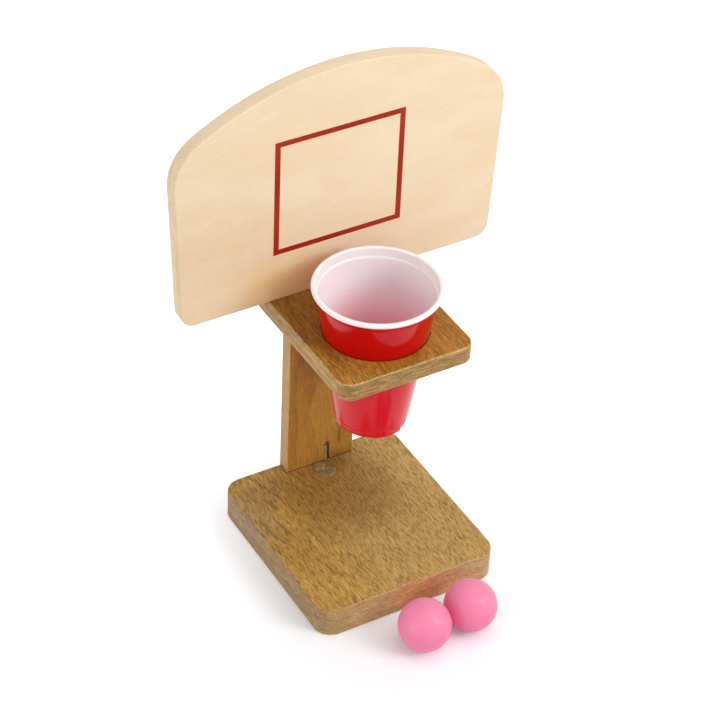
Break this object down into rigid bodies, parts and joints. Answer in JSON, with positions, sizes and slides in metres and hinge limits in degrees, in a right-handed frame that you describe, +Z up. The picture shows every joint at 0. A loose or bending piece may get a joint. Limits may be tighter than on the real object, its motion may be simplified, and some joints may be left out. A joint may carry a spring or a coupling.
{
  "type": "tabletop basketball game",
  "caption": "Wooden tabletop basketball game: base board, upright post, arched backboard and a shelf that holds a cup as the hoop, with small balls to throw.",
  "frame": {"origin": "middle of the base board's underside", "axes": "+Z up, -Y towards the player, +X to the player's right"},
  "size_m": [0.2662, 0.2198, 0.395],
  "materials": {
    "oak": "open-pored, oiled satin",
    "post_wood": "smooth, oiled satin",
    "pale_wood": "sanded, matte",
    "red_paint": "thin matte paint",
    "cup_red": "gloss moulded",
    "cup_white": "satin moulded",
    "ball_pink": "matte moulded",
    "screw_steel": "zinc-plated",
    "clear_glue": "dried clear glue"
  },
  "bodies": {
    "stand": {"base_board": "oak", "post": "post_wood", "hoop_shelf": "oak", "backboard": "pale_wood", "target_square": "red_paint", "base_screws": "screw_steel", "shelf_screws": "screw_steel", "board_screws": "screw_steel", "glue_drop": "clear_glue"},
    "cup": {"cup_shell": "cup_red", "cup_lining": "cup_white"},
    "left_ball": {"ball_left": "ball_pink"},
    "right_ball": {"ball_right": "ball_pink"}
  },
  "joints": [
    {"name": "cup_lift", "type": "slide", "parent": "stand", "child": "cup", "axis": [0, 0, 1], "range_m": [0, 0.1]},
    {"name": "left_ball_lift", "type": "slide", "parent": "stand", "child": "left_ball", "axis": [0, 0, 1], "range_m": [0, 0.12]},
    {"name": "right_ball_lift", "type": "slide", "parent": "stand", "child": "right_ball", "axis": [0, 0, 1], "range_m": [0, 0.12]}
  ]
}
